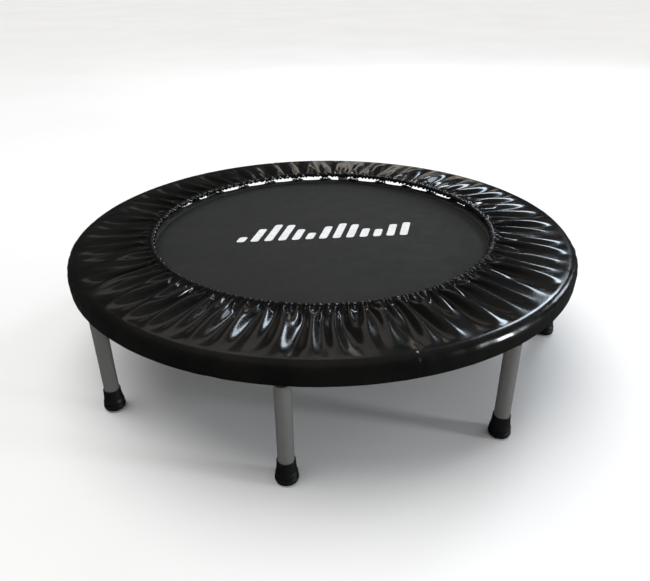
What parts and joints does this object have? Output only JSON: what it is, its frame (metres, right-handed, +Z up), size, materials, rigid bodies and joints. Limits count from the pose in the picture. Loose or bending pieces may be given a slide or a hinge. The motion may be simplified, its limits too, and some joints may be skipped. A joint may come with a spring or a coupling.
{
  "type": "mini trampoline",
  "caption": "Low round trampoline: woven mat hung by springs in a steel ring on screw-on legs, under a gathered glossy cover.",
  "frame": {"origin": "on the floor, at the centre of the ring", "axes": "+Z up, square to the mat; +X through a leg"},
  "size_m": [0.9626, 0.9626, 0.227],
  "materials": {
    "frame_paint": "satin silver powder coat",
    "leg_paint": "satin silver powder coat",
    "bare_steel": "turned steel",
    "zinc_bolt": "zinc plated",
    "zinc_wire": "zinc plated spring wire",
    "cover_fabric": "glossy coated fabric, gathered",
    "elastic": "braided elastic",
    "mat_weave": "fine tight weave, matt",
    "webbing": "ribbed webbing",
    "black_plastic": "moulded",
    "foot_rubber": "matt moulded rubber"
  },
  "bodies": {
    "frame": {"frame_ring": "frame_paint", "leg_bosses": "bare_steel", "springs": "zinc_wire", "skirt_cover": "cover_fabric", "inner_elastic": "elastic", "outer_elastic": "elastic"},
    "mat": {"mat_fabric": "mat_weave", "mat_binding": "webbing", "mat_tabs": "webbing", "v_rings": "zinc_wire"},
    "leg_1": {"leg_tube_1": "leg_paint", "leg_plug_1": "black_plastic", "leg_bolt_1": "zinc_bolt", "foot_1": "foot_rubber"},
    "leg_2": {"leg_tube_2": "leg_paint", "leg_plug_2": "black_plastic", "leg_bolt_2": "zinc_bolt", "foot_2": "foot_rubber"},
    "leg_3": {"leg_tube_3": "leg_paint", "leg_plug_3": "black_plastic", "leg_bolt_3": "zinc_bolt", "foot_3": "foot_rubber"},
    "leg_4": {"leg_tube_4": "leg_paint", "leg_plug_4": "black_plastic", "leg_bolt_4": "zinc_bolt", "foot_4": "foot_rubber"},
    "leg_5": {"leg_tube_5": "leg_paint", "leg_plug_5": "black_plastic", "leg_bolt_5": "zinc_bolt", "foot_5": "foot_rubber"},
    "leg_6": {"leg_tube_6": "leg_paint", "leg_plug_6": "black_plastic", "leg_bolt_6": "zinc_bolt", "foot_6": "foot_rubber"},
    "leg_7": {"leg_tube_7": "leg_paint", "leg_plug_7": "black_plastic", "leg_bolt_7": "zinc_bolt", "foot_7": "foot_rubber"},
    "leg_8": {"leg_tube_8": "leg_paint", "leg_plug_8": "black_plastic", "leg_bolt_8": "zinc_bolt", "foot_8": "foot_rubber"}
  },
  "joints": [
    {"name": "mat_bounce", "type": "slide", "parent": "frame", "child": "mat", "axis": [0, 0, -1], "range_m": [0, 0.06], "stiffness_N_per_m": 8000, "deforming": ["springs"]},
    {"name": "leg_1_unscrew", "type": "slide", "parent": "frame", "child": "leg_1", "axis": [0, 0, -1], "range_m": [0, 0.018]},
    {"name": "leg_2_unscrew", "type": "slide", "parent": "frame", "child": "leg_2", "axis": [0, 0, -1], "range_m": [0, 0.018]},
    {"name": "leg_3_unscrew", "type": "slide", "parent": "frame", "child": "leg_3", "axis": [0, 0, -1], "range_m": [0, 0.018]},
    {"name": "leg_4_unscrew", "type": "slide", "parent": "frame", "child": "leg_4", "axis": [0, 0, -1], "range_m": [0, 0.018]},
    {"name": "leg_5_unscrew", "type": "slide", "parent": "frame", "child": "leg_5", "axis": [0, 0, -1], "range_m": [0, 0.018]},
    {"name": "leg_6_unscrew", "type": "slide", "parent": "frame", "child": "leg_6", "axis": [0, 0, -1], "range_m": [0, 0.018]},
    {"name": "leg_7_unscrew", "type": "slide", "parent": "frame", "child": "leg_7", "axis": [0, 0, -1], "range_m": [0, 0.018]},
    {"name": "leg_8_unscrew", "type": "slide", "parent": "frame", "child": "leg_8", "axis": [0, 0, -1], "range_m": [0, 0.018]}
  ]
}
